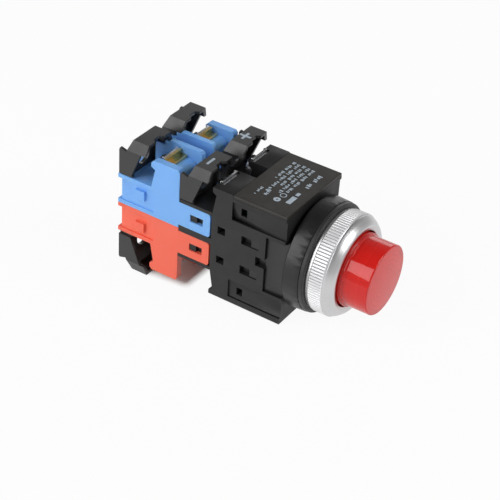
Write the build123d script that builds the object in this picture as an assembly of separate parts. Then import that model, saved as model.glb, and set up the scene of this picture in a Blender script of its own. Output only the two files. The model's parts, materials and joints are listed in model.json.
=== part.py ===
from build123d import *
import os
from math import cos, pi, sin

# Illuminated push button: lens and ring nut in front, rubber gasket, operator housing, lamp unit with its own
# pair of terminals, and two contact blocks stacked one above the other at the back.
# Millimetres. The origin is on the push axis at the panel's seat, between ring nut and gasket.
# -Y points at the person who pushes, +Y runs to the contact blocks, +Z is the label side.

# Ring nut
ring_radius = 17.5
ring_length = 9.4
ring_rear_band = 1.2
ring_rear_step = 0.25
knurl_length = 4.9
knurl_depth = 0.4
knurl_count = 107
shoulder_step = 0.35
ring_nose_radius = 14.7
ring_hole_radius = 12.95
nose_dish = 0.5
ring_lip_length = 1.6
thread_clearance = 0.1

# Threaded bush and flange of the operator
bush_radius = 14.75
bush_wall = 1.6
bush_reach = 7.0
gasket_thickness = 1.6
gasket_width = 3.85
gasket_edge = 0.3
flange_radius = 19.2
flange_length = 5.7
flange_taper = 0.3
chamber_floor = 1.0
bush_edge = 0.5

# Button
lens_radius = 11.9
lens_wall = 1.2
lens_face_thickness = 1.4
lens_reach = 19.0
lens_flange_radius = 12.5
lens_flange_length = 3.6
lens_flange_y = -10.4
lens_skirt_end = -4.6
sleeve_front_wall = 0.9
sleeve_web_y = -3.6
sleeve_web_thickness = 1.4
barrel_radius = 8.15
barrel_wall = 1.25
running_clearance = 0.05
travel = 4.0
seat_gap = 0.05
diffuser_thickness = 1.4
diffuser_ring_height = 0.45
diffuser_ring_pitch = 2.0
diffuser_ring_width = 0.8

# Lamp unit body
unit_half_width = 16.4
unit_half_height = 20.8
unit_front = 8.6
unit_rear = 36.0
side_wall = 1.5
pocket_half_height = 10.4
pocket_depth_end = 26.2
tab_front = 15.5
tab_notch_half = 1.7
tab_notch_depth = 3.4
window_front = 18.0
window_length = 6.5
window_height = 3.1
window_centre_z = 5.7
small_hole_front = 30.7
small_hole_length = 2.9
small_hole_height = 2.7
small_hole_depth = 3.0
recess_depth = 0.8
recess_rear = 28.5
recess_low = 11.6
recess_high = 18.4
recess_hole_front = 23.4
recess_hole_length = 2.2
recess_hole_height = 2.8
recess_hole_depth = 2.2
recess_hole_rise = 2.4
rear_cut = 1.4
rear_cut_low = 10.3
rear_tip_height = 1.8
label_rear = 28.4
label_thickness = 1.2
label_lip = 0.35
block_slot_half = 3.5
block_slot_depth = 8.4
bottom_edge = 0.5
terminal_pocket_depth = 2.0
lamp_plate_drop = 0.7
board_thickness = 1.4
board_half_width = 12.0
resistor_radius = 1.7
resistor_length = 8.0
bridge_block = 5.5
bridge_block_height = 2.6
capacitor_radius = 2.4
capacitor_height = 4.0

# Rear carrier of the lamp unit, between the tabs of the contact blocks
carrier_rear = 48.6
rail_width = 1.2
middle_rail_half = 1.1
tab_gap = 0.1
bay_slide_gap = 0.15

# Contact blocks
block_front = 48.8
block_rear = 72.1
block_height = 11.2
block_lip = 1.2
block_lip_height = 1.5
block_tab_front = 36.6
block_tab_thickness = 1.4
block_window_front = 39.3
block_window_length = 5.0
block_window_height = 2.7
panel_recess = 0.5
wall_rear = 60.0
outer_wall = 2.6
outer_wall_rise = 2.8
centre_wall_inner = 2.3
centre_wall = 1.8
centre_wall_rise = 3.7
centre_wall_rear = 62.0
centre_step_rear = 63.5
centre_sill_rear = 67.4
centre_sill_rise = 1.2
centre_step_gap = 0.2
floor_cover = 0.65
floor_nose = 3.6
floor_setback = 1.0
block_shell = 1.4
side_nib_front = 62.4
side_nib_length = 3.6
side_nib_low = 4.5
side_nib_height = 3.6
side_nib_rise = 0.5

# Terminals
terminal_x = 8.6
terminal_plate_y = 56.8
terminal_plate_width = 8.8
terminal_plate_rise = 2.4
terminal_plate_thickness = 0.8
terminal_foot = 2.2
clamp_width = 8.2
clamp_thickness = 1.1
clamp_rim = 0.75
clamp_gap = 0.9
clamp_rise = 0.3
screw_radius = 1.75
screw_head_radius = 3.3
screw_head_length = 3.0
screw_reach = 6.0
screw_hole_clearance = 0.1
strip_width = 3.0
strip_way = 4.1
cross_slot_half = 2.2
cross_slot_width = 0.9
cross_slot_depth = 1.0

# Hoods over the terminals
hood_rear = 72.5
hood_top_rise = 6.9
hood_shoulder_rise = 3.1
hood_outer = 17.0
hood_inner = 2.3
hood_top_outer = 15.7
hood_top_inner = 4.1
hood_wall = 1.1
hood_step_length = 2.8
hood_step_drop = 0.7
hood_top_rear = 4.7
hood_top_front = 10.9
hood_cut_back = 8.6
hood_foot_length = 4.7
hood_base_thickness = 1.0
hood_bottom_rise = 0.8
hood_flap = 1.0
hood_flap_corner = 0.35
hood_slope = 0.5
hood_notch_width = 5.0
hood_notch_depth = 1.4
hood_driver_radius = 3.1
hood_shift = 24.3

# Lamp, rods and contacts
post_radius = 5.6
post_front = -3.0
lamp_cap_radius = 4.4
lamp_cap_length = 7.5
lamp_dome_radius = 4.2
lamp_clearance = 0.5
lamp_setback = 0.8
rod_z = 6.9
rod_size = 2.2
rod_clearance = 0.1
carriage_half_width = 2.2
carriage_low = 3.6
carriage_high = 8.6
end_clearance = 0.3
bridge_half_length = 9.2
bridge_thickness = 0.8
bridge_height = 2.6
bridge_z = 5.6
contact_tip_radius = 1.3
contact_tip_height = 0.7
contact_gap = 0.1
spring_room = 5.0
contact_spring_radius = 1.0
contact_spring_wire = 0.2
contact_spring_turns = 6

# Places that follow from the sizes above
gasket_radius = bush_radius + thread_clearance + gasket_width
gasket_rear = gasket_thickness
flange_rear = gasket_rear + flange_length
bush_bore = bush_radius - bush_wall
sleeve_radius = lens_radius - lens_wall - 0.1
chamber_end = flange_rear - chamber_floor
barrel_end = pocket_depth_end - travel - end_clearance
diffuser_seat = -lens_reach + lens_face_thickness + seat_gap
diffuser_rear = diffuser_seat + diffuser_thickness
carrier_half_height = block_height
block_mid_z = block_height / 2
screw_z = block_height + clamp_gap + clamp_width / 2
floor_height = screw_z + screw_radius + floor_cover
outer_wall_top = floor_height + outer_wall_rise
centre_wall_top = floor_height + centre_wall_rise
centre_sill_top = floor_height + centre_sill_rise
terminal_plate_top = floor_height + terminal_plate_rise
clamp_top = terminal_plate_top + clamp_rise
hood_side_bottom = block_height + hood_bottom_rise
hood_shoulder = floor_height + hood_shoulder_rise
hood_top = floor_height + hood_top_rise
lamp_plate_y = unit_rear - terminal_pocket_depth
carriage_start = carrier_rear + seat_gap
carriage_end = block_rear - block_shell - travel - end_clearance
screw_seat = terminal_plate_y + terminal_plate_thickness


def box(x0, x1, y0, y1, z0, z1):
    """Box between two corners."""
    middle = ((x0 + x1) / 2, (y0 + y1) / 2, (z0 + z1) / 2)
    return Pos(*middle) * Box(x1 - x0, y1 - y0, z1 - z0)


def rod_y(radius, y0, y1, x=0.0, z=0.0):
    """Cylinder along Y."""
    return Pos(x, (y0 + y1) / 2, z) * Rot(90, 0, 0) * Cylinder(radius, y1 - y0)


def turned(points):
    """Ring turned about the push axis from an outline of (radius, y) points."""
    face = make_face(Polyline(*[(r, y) for r, y in points], close=True))
    return revolve(face, Axis.Y, 360)


def side_profile(points, x0, x1):
    """Outline of (y, z) points carried across from x0 to x1."""
    face = Plane.YZ.offset(x0) * make_face(Polyline(*points, close=True))
    return extrude(face, amount=x1 - x0)


def both_sides(shape):
    """A shape and its mirror image across the middle plane."""
    return shape + mirror(shape, about=Plane.YZ)


def ring_nut():
    root = ring_radius - knurl_depth
    knurl_start = -ring_rear_band
    knurl_end = knurl_start - knurl_length
    outline = [
        (bush_radius + thread_clearance, 0),
        (ring_radius - ring_rear_step, 0),
        (ring_radius - ring_rear_step, knurl_start),
        (root, knurl_start),
        (root, knurl_end),
        (ring_radius - shoulder_step, knurl_end - 0.1),
        (ring_radius - 2 * shoulder_step, knurl_end - 0.8),
        (ring_nose_radius + 0.35, -ring_length + 0.35),
        (ring_nose_radius, -ring_length),
        (ring_nose_radius - 0.4, -ring_length),
        (ring_hole_radius, -ring_length + nose_dish),
        (ring_hole_radius, -ring_length + nose_dish + ring_lip_length),
        (bush_radius + thread_clearance, -ring_length + nose_dish + ring_lip_length),
    ]
    ring = turned(outline)
    crests = []
    for k in range(2 * knurl_count):
        radius = ring_radius if k % 2 else root - 0.05
        angle = pi * k / knurl_count
        crests.append((radius * cos(angle), radius * sin(angle)))
    star = extrude(Plane.XZ.offset(-knurl_start) * make_face(Polyline(*crests, close=True)), amount=knurl_length)
    star -= rod_y(root - 1.0, knurl_end - 1, knurl_start + 1)
    return ring + star


def gasket():
    return turned([
        (bush_radius + thread_clearance, 0),
        (gasket_radius - gasket_edge, 0),
        (gasket_radius, gasket_edge),
        (gasket_radius, gasket_thickness),
        (bush_radius + thread_clearance, gasket_thickness),
    ])


def operator_housing():
    bore = barrel_radius + running_clearance
    bush = turned([
        (bush_bore, -bush_reach),
        (bush_radius - bush_edge, -bush_reach),
        (bush_radius, -bush_reach + bush_edge),
        (bush_radius, gasket_rear),
        (flange_radius - flange_taper, gasket_rear),
        (flange_radius, flange_rear - 0.4),
        (flange_radius - 0.4, flange_rear),
        (bore, flange_rear),
        (bore, chamber_end),
        (bush_bore, chamber_end),
    ])
    neck = unit_half_width - recess_depth
    core = unit_half_width - side_wall - bay_slide_gap
    height = pocket_half_height - bay_slide_gap
    front_block = box(-neck, neck, flange_rear, tab_front - 0.2, -height, height)
    core_block = box(-core, core, tab_front - 0.2, pocket_depth_end - bay_slide_gap, -height, height)
    housing = bush + front_block + core_block
    nib_front = window_front + bay_slide_gap
    for z in (window_centre_z, -window_centre_z):
        half = window_height / 2 - bay_slide_gap
        reach = unit_half_width - 0.3
        housing += box(-reach, reach, nib_front, nib_front + window_length * 0.42, z - half, z + half)
    return housing - rod_y(bore, flange_rear - 0.5, pocket_depth_end)


def lens_cap():
    inner = lens_radius - lens_wall
    flange_end = lens_flange_y + lens_flange_length
    bevel = 0.3
    return turned([
        (0, -lens_reach),
        (lens_radius - bevel, -lens_reach),
        (lens_radius, -lens_reach + bevel),
        (lens_radius, lens_flange_y),
        (lens_flange_radius, lens_flange_y + 0.2),
        (lens_flange_radius, flange_end),
        (lens_radius, flange_end),
        (lens_radius, lens_skirt_end),
        (inner, lens_skirt_end),
        (inner, -lens_reach + lens_face_thickness),
        (0, -lens_reach + lens_face_thickness),
    ])


def lens_diffuser():
    """Disc behind the lens face, with raised rings and a dot in the middle."""
    rim = lens_radius - lens_wall - seat_gap
    face = diffuser_seat + diffuser_ring_height
    disc = rod_y(rim, face, diffuser_rear)
    rings = rod_y(diffuser_ring_pitch / 2, diffuser_seat, face + seat_gap)
    radius = diffuser_ring_pitch / 2 + diffuser_ring_pitch
    while radius < rim:
        ring = rod_y(radius, diffuser_seat, face + seat_gap)
        rings += ring - rod_y(radius - diffuser_ring_width, diffuser_seat - 1, face + 1)
        radius += diffuser_ring_pitch
    return disc + rings


def plunger_sleeve():
    web_end = sleeve_web_y + sleeve_web_thickness
    front = diffuser_rear
    inner = sleeve_radius - sleeve_front_wall
    bore = barrel_radius - barrel_wall
    return turned([
        (sleeve_radius, front),
        (sleeve_radius, sleeve_web_y),
        (bush_bore - 0.4, sleeve_web_y),
        (bush_bore - 0.4, web_end),
        (barrel_radius, web_end),
        (barrel_radius, barrel_end),
        (bore, barrel_end),
        (bore, sleeve_web_y + 0.2),
        (inner, sleeve_web_y - 0.8),
        (inner, front),
    ])


def coil(mean_radius, wire, length, turns):
    """Round wire wound along Y from y=0, with its ends cut flat."""
    path = Helix(pitch=(length - 2 * wire) / turns, height=length - 2 * wire, radius=mean_radius)
    section = Plane(path @ 0, z_dir=path % 0) * Circle(wire)
    spring = sweep(section, path)
    return Pos(0, wire, 0) * Rot(-90, 0, 0) * spring


def return_spring():
    start = sleeve_web_y + sleeve_web_thickness
    length = chamber_end - start
    return Pos(0, start, 0) * coil((barrel_radius + bush_bore) / 2, 0.4, length, 4)


def lamp_holder():
    """Hollow post on a square foot that carries the lamp through the sleeve."""
    foot = pocket_depth_end
    post = rod_y(post_radius, post_front, foot)
    return post - rod_y(lamp_cap_radius + seat_gap, post_front - 1, post_front + lamp_cap_length + 0.1)


def led_lamp():
    """Domed lamp on its cap; the pressed button's diffuser stops just clear of it."""
    cap_front = post_front - lamp_setback
    cap = rod_y(lamp_cap_radius, cap_front, post_front + lamp_cap_length)
    tip = diffuser_rear + travel + lamp_clearance
    glass_start = tip + lamp_dome_radius
    glass = rod_y(lamp_dome_radius, glass_start, cap_front)
    crown = Pos(0, glass_start, 0) * Sphere(lamp_dome_radius)
    crown &= box(-lamp_cap_radius, lamp_cap_radius, tip - 1, glass_start, -lamp_cap_radius, lamp_cap_radius)
    return cap + glass + crown


def lamp_unit_housing():
    w = unit_half_width
    h = unit_half_height
    inner = w - side_wall
    p = pocket_half_height
    tip = h - rear_tip_height
    outline = [
        (unit_front, -h), (unit_front, h), (unit_rear, h), (unit_rear, tip), (unit_rear - rear_cut, tip - 0.9),
        (unit_rear, rear_cut_low), (unit_rear, -rear_cut_low), (unit_rear - rear_cut, -tip + 0.9),
        (unit_rear, -tip), (unit_rear, -h),
    ]
    body = side_profile(outline, -w, w)
    body = fillet(body.edges().filter_by(Axis.Y).group_by(Axis.Z)[0], bottom_edge)
    body -= box(-inner, inner, unit_front - 1, pocket_depth_end, -p, p)
    body -= box(-w - 1, w + 1, unit_front - 1, tab_front, -p, p)
    body -= box(-w - 1, w + 1, tab_front - 1, tab_front + tab_notch_depth, -tab_notch_half, tab_notch_half)
    for z in (window_centre_z, -window_centre_z):
        body -= box(-w - 1, w + 1, window_front, window_front + window_length,
                    z - window_height / 2, z + window_height / 2)
        hole = box(-w - 1, -w + small_hole_depth, small_hole_front, small_hole_front + small_hole_length,
                   z - small_hole_height / 2, z + small_hole_height / 2)
        body -= both_sides(hole)
    for sign in (1, -1):
        z0, z1 = sorted((sign * recess_low, sign * recess_high))
        dish = box(-w - 1, -w + recess_depth, unit_front - 1, recess_rear, z0, z1)
        hole_low = recess_low + recess_hole_rise
        z0, z1 = sorted((sign * hole_low, sign * (hole_low + recess_hole_height)))
        dish += box(-w, -w + recess_depth + recess_hole_depth, recess_hole_front,
                    recess_hole_front + recess_hole_length, z0, z1)
        body -= both_sides(dish)
    # compartment for the lamp's driver board, closed by the label cover
    body -= box(-inner, inner, unit_front + side_wall, label_rear - side_wall, p + side_wall, h + 1)
    body -= box(-w - 1, w + 1, unit_front - 1, label_rear, h - label_thickness, h + 1)
    # slot between the two rear top blocks
    body -= box(-block_slot_half, block_slot_half, label_rear, unit_rear + 1, h - block_slot_depth, h + 1)
    # carrier with three rails on each side, between which the contact blocks' tabs slide in
    c = carrier_half_height
    core = w - block_tab_thickness - tab_gap
    body += box(-core, core, unit_rear, carrier_rear, -c, c)
    for z0, z1 in ((c - rail_width, c), (-middle_rail_half, middle_rail_half), (-c, -c + rail_width)):
        body += box(-w, w, unit_rear, carrier_rear, z0, z1)
    for z in (block_mid_z, -block_mid_z):
        nib = block_window_height / 2 - bay_slide_gap
        front = block_window_front + block_window_length * 0.5
        body += box(-w + 0.3, w - 0.3, front, block_window_front + block_window_length - bay_slide_gap, z - nib, z + nib)
    # ways through for the two push rods and the lamp terminals' screws
    for z in (rod_z, -rod_z):
        half = rod_size / 2 + rod_clearance
        body -= box(-half, half, pocket_depth_end - 1, carrier_rear + 1, z - half, z + half)
    # pockets in the rear of the two top blocks, where the lamp's terminals sit
    half = terminal_plate_width / 2 + seat_gap
    for x in (terminal_x, -terminal_x):
        body -= box(x - half, x + half, lamp_plate_y, unit_rear + 1, carrier_half_height, h + 1)
        body -= rod_y(screw_radius + screw_hole_clearance, lamp_plate_y - screw_reach, unit_rear, x, screw_z)
    return body


def label_cover():
    w = unit_half_width
    h = unit_half_height
    plate = box(-w, w, unit_front, label_rear, h - label_thickness, h)
    edges = plate.edges().filter_by(Axis.Y).group_by(Axis.Z)[-1]
    plate = chamfer(edges, label_lip)
    inner = w - side_wall - seat_gap
    rim = box(-inner, inner, unit_front + side_wall + seat_gap, label_rear - side_wall - seat_gap,
              h - label_thickness - 1.0, h - label_thickness)
    rim -= box(-inner + 1, inner - 1, unit_front + side_wall + 1, label_rear - side_wall - 1,
               h - label_thickness - 2.0, h - label_thickness)
    return plate + rim


def driver_board():
    """Small board above the lamp, with its resistor, bridge and capacitor."""
    z0 = pocket_half_height + side_wall
    inner = board_half_width
    front = unit_front + side_wall + 0.5
    top = z0 + board_thickness
    rear = label_rear - side_wall - 0.5
    board = box(-inner, inner, front, rear, z0, top)
    y = front + 3 * resistor_radius
    board += Pos(-inner / 2, y, top + resistor_radius - 0.1) * Rot(0, 90, 0) * Cylinder(resistor_radius, resistor_length)
    x = inner / 2
    board += box(x - bridge_block / 2, x + bridge_block / 2, y - bridge_block / 2, y + bridge_block / 2,
                 top, top + bridge_block_height)
    y = rear - 2 * capacitor_radius
    board += Pos(x, y, top + capacitor_height / 2) * Cylinder(capacitor_radius, capacitor_height)
    return board


def hump(x_sign, y_rear):
    """One hollow hood over a terminal: high in the middle, its front mouth slanted back towards its foot. The
    rear wall leans forward, and the outer side goes on behind it as a thin flap."""
    y = y_rear
    low = hood_side_bottom
    wall_y = y - hood_step_length
    shoulder = hood_shoulder - hood_step_drop
    outline = [
        (wall_y + hood_slope, low), (wall_y, shoulder), (y - hood_top_rear, hood_top), (y - hood_top_front, hood_top),
        (y - hood_top_front + 0.5, hood_shoulder), (y - hood_cut_back, hood_shoulder), (y - hood_foot_length, low),
    ]
    t = hood_wall
    hollow = [
        (wall_y + hood_slope - t, low - 5), (wall_y - t, shoulder - t), (y - hood_top_rear - t * 0.6, hood_top - t),
        (y - hood_top_front - 3, hood_top - t), (y - hood_top_front - 3, low - 5),
    ]
    x0, x1 = sorted((x_sign * hood_inner, x_sign * hood_outer))
    outer = side_profile(outline, x0, x1)
    front_view = [
        (x_sign * hood_outer, low - 1), (x_sign * hood_outer, hood_shoulder), (x_sign * hood_top_outer, hood_top),
        (x_sign * hood_top_inner, hood_top), (x_sign * hood_inner, hood_shoulder), (x_sign * hood_inner, low - 1),
    ]
    sheath = extrude(Plane.XZ * make_face(Polyline(*front_view, close=True)), amount=-200)
    outer &= sheath
    core_view = [
        (x_sign * (hood_outer - t), low - 6), (x_sign * (hood_outer - t), hood_shoulder - 0.2),
        (x_sign * (hood_top_outer - t), hood_top - t + 0.01), (x_sign * (hood_top_inner + t), hood_top - t + 0.01),
        (x_sign * (hood_inner + t), hood_shoulder - 0.2), (x_sign * (hood_inner + t), low - 6),
    ]
    core = extrude(Plane.XZ * make_face(Polyline(*core_view, close=True)), amount=-200)
    outer -= side_profile(hollow, x0 - 1, x1 + 1) & core
    flap = [(wall_y - t, low), (wall_y - t, shoulder - t), (wall_y, shoulder),
            (y - hood_flap_corner, hood_shoulder), (y, hood_shoulder - 2 * hood_flap_corner), (y, low)]
    x0, x1 = sorted((x_sign * hood_outer, x_sign * (hood_outer - hood_flap)))
    outer += side_profile(flap, x0, x1)
    middle = x_sign * (hood_top_outer + hood_top_inner) / 2
    half = hood_notch_width / 2
    front = y - hood_top_front
    notch = [(middle - half, front - 1), (middle - half, front), (middle - half + 0.9, front + hood_notch_depth),
             (middle + half - 0.9, front + hood_notch_depth), (middle + half, front), (middle + half, front - 1)]
    cut = extrude(Plane.XY.offset(hood_top - 2 * t) * make_face(Polyline(*notch, close=True)), amount=3 * t)
    outer -= cut
    # the inner side stands on the low rear end of the block's centre wall
    x0, x1 = sorted((x_sign * (hood_inner - t), x_sign * (hood_inner + t)))
    sill_end = y - hood_rear + centre_sill_rear
    outer -= box(x0, x1, y - hood_cut_back, sill_end + seat_gap, low - 1, centre_sill_top + seat_gap)
    return outer - rod_y(hood_driver_radius, wall_y - 2 * t, y + 1, x_sign * terminal_x, screw_z)


def terminal_hood(y_rear):
    """Cover with two humps on a base web, as it sits over one pair of terminals."""
    y = y_rear
    base_low = block_height
    hood = hump(1, y) + hump(-1, y)
    foot = y - hood_foot_length
    base_top = hood_side_bottom + 0.3
    wall_y = y - hood_step_length + hood_slope
    for sign in (1, -1):
        outer = sign * (unit_half_width - 0.3)
        x0, x1 = sorted((sign * hood_inner, outer))
        hood += box(x0, x1, wall_y - hood_wall, wall_y, base_low, base_top)
        x0, x1 = sorted((outer, outer - sign * hood_flap))
        hood += box(x0, x1, foot, y, base_low, base_top)
    hood += box(-hood_inner, hood_inner, foot - 3.0, wall_y, base_low, base_top + hood_base_thickness)
    return hood


def block_housing():
    """Upper contact block; the lower one is its mirror image."""
    w = unit_half_width
    body = box(-w, w, block_front, block_rear, 0, block_height)
    for z0, z1 in ((0, block_lip_height), (block_height - block_lip_height, block_height)):
        body += box(-w, w, block_rear, block_rear + block_lip, z0, z1)
    panel = box(-w - 1, -w + panel_recess, wall_rear - 1.2, block_rear + 1, block_lip_height, block_height - block_lip_height)
    body -= both_sides(panel)
    nib = box(-w - side_nib_rise, -w + panel_recess + 0.2, side_nib_front, side_nib_front + side_nib_length,
              side_nib_low, side_nib_low + side_nib_height)
    body += both_sides(nib)
    # raised floor in front of the terminals, with a rounded nose
    nose_y = block_front + floor_setback
    outline = [(nose_y, block_height - 0.5), (nose_y, floor_height - floor_nose)]
    steps = 6
    for k in range(1, steps + 1):
        angle = pi / 2 * k / steps
        outline.append((nose_y + floor_nose * (1 - cos(angle)), floor_height - floor_nose * (1 - sin(angle))))
    outline += [(terminal_plate_y, floor_height), (terminal_plate_y, block_height - 0.5)]
    body += side_profile(outline, -w + 0.5, w - 0.5)
    wall = [(block_front, block_height - 0.5), (block_front, outer_wall_top - 0.8), (block_front + 0.7, outer_wall_top),
            (wall_rear - 0.9, outer_wall_top), (wall_rear, outer_wall_top - 0.9), (wall_rear, floor_height + 0.3),
            (wall_rear - 1.5, floor_height - 0.5), (wall_rear, block_height - 0.5)]
    body += both_sides(side_profile(wall, -w, -w + outer_wall))
    barrier = [(block_front, block_height), (block_front, centre_wall_top - 0.8), (block_front + 0.8, centre_wall_top),
               (centre_wall_rear - 0.5, centre_wall_top), (centre_wall_rear, hood_shoulder - centre_step_gap),
               (centre_step_rear, hood_shoulder - centre_step_gap), (centre_step_rear, centre_sill_top),
               (centre_sill_rear, centre_sill_top), (centre_sill_rear, block_height)]
    body += both_sides(side_profile(barrier, -centre_wall_inner - centre_wall, -centre_wall_inner))
    body -= box(-centre_wall_inner, centre_wall_inner, block_front - 1, terminal_plate_y + 1, block_height + 0.8, centre_wall_top + 1)
    # tabs that reach forward along the lamp unit's carrier
    tab_low = middle_rail_half + tab_gap
    tab_high = carrier_half_height - rail_width - tab_gap
    tab = box(-w, -w + block_tab_thickness, block_tab_front, block_front + 0.5, tab_low, tab_high)
    corners = tab.edges().filter_by(Axis.X).group_by(Axis.Y)[0]
    tab = fillet(corners, 1.0)
    tab -= box(-w - 1, -w + 3, block_window_front, block_window_front + block_window_length,
               block_mid_z - block_window_height / 2, block_mid_z + block_window_height / 2)
    body += both_sides(tab)
    # contact chamber and the ways into it
    s = block_shell
    inner = bridge_half_length + 1.6
    body -= box(-inner, inner, block_front + s, block_rear - s, s, block_height - s)
    body -= box(-carriage_half_width - rod_clearance, carriage_half_width + rod_clearance, block_front - 1,
                block_front + 2 * s, carriage_low - rod_clearance, carriage_high + rod_clearance)
    for x in (terminal_x, -terminal_x):
        body -= rod_y(screw_radius + screw_hole_clearance, terminal_plate_y - screw_reach, terminal_plate_y + 1, x, screw_z)
        half = strip_way / 2
        body -= box(x - half, x + half, terminal_plate_y - seat_gap, terminal_plate_y + terminal_plate_thickness + seat_gap,
                    block_height - 2 * s, block_height + 1)
    return body


def upright_plate(x, top):
    """Plain upright strip with the screw's hole."""
    y = terminal_plate_y
    half = terminal_plate_width / 2
    upright = box(x - half, x + half, y, y + terminal_plate_thickness, block_height + clamp_gap, top)
    return upright - rod_y(screw_radius + screw_hole_clearance, y - 1, y + 2, x, screw_z)


def terminal_plate(x):
    """Bent strip: foot on the floor, upright behind it that the screw clamps against."""
    y = terminal_plate_y
    half = terminal_plate_width / 2
    t = terminal_plate_thickness
    foot = box(x - half, x + half, y - terminal_foot, y, floor_height, floor_height + t)
    return upright_plate(x, terminal_plate_top) + foot


def contact_strip(x, contact_y):
    """Leg from a terminal down into the contact chamber, with its silver tip."""
    t = terminal_plate_thickness
    y = terminal_plate_y
    half = strip_width / 2
    low = bridge_z - bridge_height / 2
    leg_low = low if contact_y <= y + t else block_height - block_shell - 1.4
    leg = box(x - half, x + half, y, y + t, leg_low, block_height + clamp_gap + t)
    if contact_y > y + t:
        leg += box(x - half, x + half, y, contact_y + t, leg_low, leg_low + t)
        leg += box(x - half, x + half, contact_y, contact_y + t, low, leg_low + t)
        tip = rod_y(contact_tip_radius, contact_y - contact_tip_height, contact_y, x, bridge_z)
    else:
        tip = rod_y(contact_tip_radius, y + t, y + t + contact_tip_height, x, bridge_z)
    return leg + tip


def clamp_plate(x, seat):
    """Clamp plate behind the terminal, with turned-up rims on its left and right."""
    half = clamp_width / 2
    low = screw_z - half
    plate = box(x - half, x + half, seat, seat + clamp_thickness, low, clamp_top)
    plate -= box(x - half + clamp_rim, x + half - clamp_rim, seat + clamp_thickness * 0.6, seat + 2, low - 1, clamp_top + 1)
    return plate - rod_y(screw_radius + screw_hole_clearance, seat - 1, seat + 3, x, screw_z)


def terminal_screw(x, seat, reach):
    """Pan-headed screw along Y, head to the rear, with a cross slot."""
    under = seat + clamp_thickness * 0.6
    head = rod_y(screw_head_radius, under, under + screw_head_length, x, screw_z)
    rim = head.edges().filter_by(GeomType.CIRCLE).group_by(Axis.Y)[-1]
    head = fillet(rim, 0.7)
    top = under + screw_head_length
    for reach_x, reach_z in ((cross_slot_half, cross_slot_width / 2), (cross_slot_width / 2, cross_slot_half)):
        head -= box(x - reach_x, x + reach_x, top - cross_slot_depth, top + 1, screw_z - reach_z, screw_z + reach_z)
    return head + rod_y(screw_radius, seat - reach, under, x, screw_z)


def bridge(y):
    """Moving contact bridge."""
    return box(-bridge_half_length, bridge_half_length, y, y + bridge_thickness,
               bridge_z - bridge_height / 2, bridge_z + bridge_height / 2)


def carriage(window_front, window_rear):
    """Contact carriage of the upper block, with a window across it for the bridge and its spring."""
    body = box(-carriage_half_width, carriage_half_width, carriage_start, carriage_end, carriage_low, carriage_high)
    return body - box(-carriage_half_width - 1, carriage_half_width + 1, window_front, window_rear,
                      bridge_z - bridge_height / 2, bridge_z + bridge_height / 2)


def contact_spring(start):
    """Small spring in the carriage's window that presses the bridge on its contacts."""
    return Pos(0, start, bridge_z) * coil(contact_spring_radius, contact_spring_wire, spring_room, contact_spring_turns)


def build_nodes():
    nodes = {}
    nodes["bezel_ring"] = ring_nut()
    nodes["panel_gasket"] = gasket()
    nodes["operator_housing"] = operator_housing()
    nodes["lens_cap"] = lens_cap()
    nodes["lens_diffuser"] = lens_diffuser()
    nodes["plunger_sleeve"] = plunger_sleeve()
    nodes["return_spring"] = return_spring()
    nodes["lamp_holder"] = lamp_holder()
    nodes["led_lamp"] = led_lamp()
    nodes["lamp_unit_housing"] = lamp_unit_housing()
    nodes["label_cover"] = label_cover()
    nodes["driver_board"] = driver_board()
    nodes["lamp_terminal_hood"] = Pos(0, -hood_shift, 0) * terminal_hood(hood_rear)

    # lamp unit's own terminals, in the pockets of its top blocks
    for side, x in (("minus", -terminal_x), ("plus", terminal_x)):
        seat = lamp_plate_y + terminal_plate_thickness
        nodes[f"lamp_{side}_terminal"] = Pos(0, lamp_plate_y - terminal_plate_y, 0) * upright_plate(x, unit_half_height - lamp_plate_drop)
        nodes[f"lamp_{side}_clamp"] = clamp_plate(x, seat)
        nodes[f"lamp_{side}_screw"] = terminal_screw(x, seat, screw_reach)

    # contact chambers: normally open above, normally closed below and mirrored
    rest_tip = screw_seat + contact_tip_height
    closed_bridge_y = rest_tip + seat_gap
    open_contact_y = closed_bridge_y + travel + bridge_thickness + contact_gap + contact_tip_height
    for block, flip in (("no", False), ("nc", True)):
        pieces = {}
        pieces["housing"] = block_housing()
        pieces["hood"] = terminal_hood(hood_rear)
        pieces["contact_bridge"] = bridge(closed_bridge_y)
        bridge_rear = closed_bridge_y + bridge_thickness
        spring_start = closed_bridge_y - spring_room if block == "no" else bridge_rear
        window = (min(spring_start, closed_bridge_y), max(spring_start + spring_room, bridge_rear))
        pieces["contact_carriage"] = carriage(*window)
        pieces["contact_spring"] = contact_spring(spring_start)
        contact_y = open_contact_y if block == "no" else 0
        for side, x in (("left", -terminal_x), ("right", terminal_x)):
            pieces[f"{side}_terminal"] = terminal_plate(x) + contact_strip(x, contact_y)
            pieces[f"{side}_clamp"] = clamp_plate(x, screw_seat)
            pieces[f"{side}_screw"] = terminal_screw(x, screw_seat, screw_reach - 1)
        rod_start = barrel_end
        half = rod_size / 2
        pieces["push_rod"] = box(-half, half, rod_start, carrier_rear, rod_z - half, rod_z + half)
        for name, shape in pieces.items():
            nodes[f"{block}_{name}"] = mirror(shape, about=Plane.XY) if flip else shape
    return nodes


os.makedirs("parts", exist_ok=True)
for name, shape in build_nodes().items():
    export_step(shape, f"parts/{name}.step")
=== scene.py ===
import json
import math

import bmesh
import bpy
import numpy as np
from mathutils import Matrix, Vector

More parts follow.
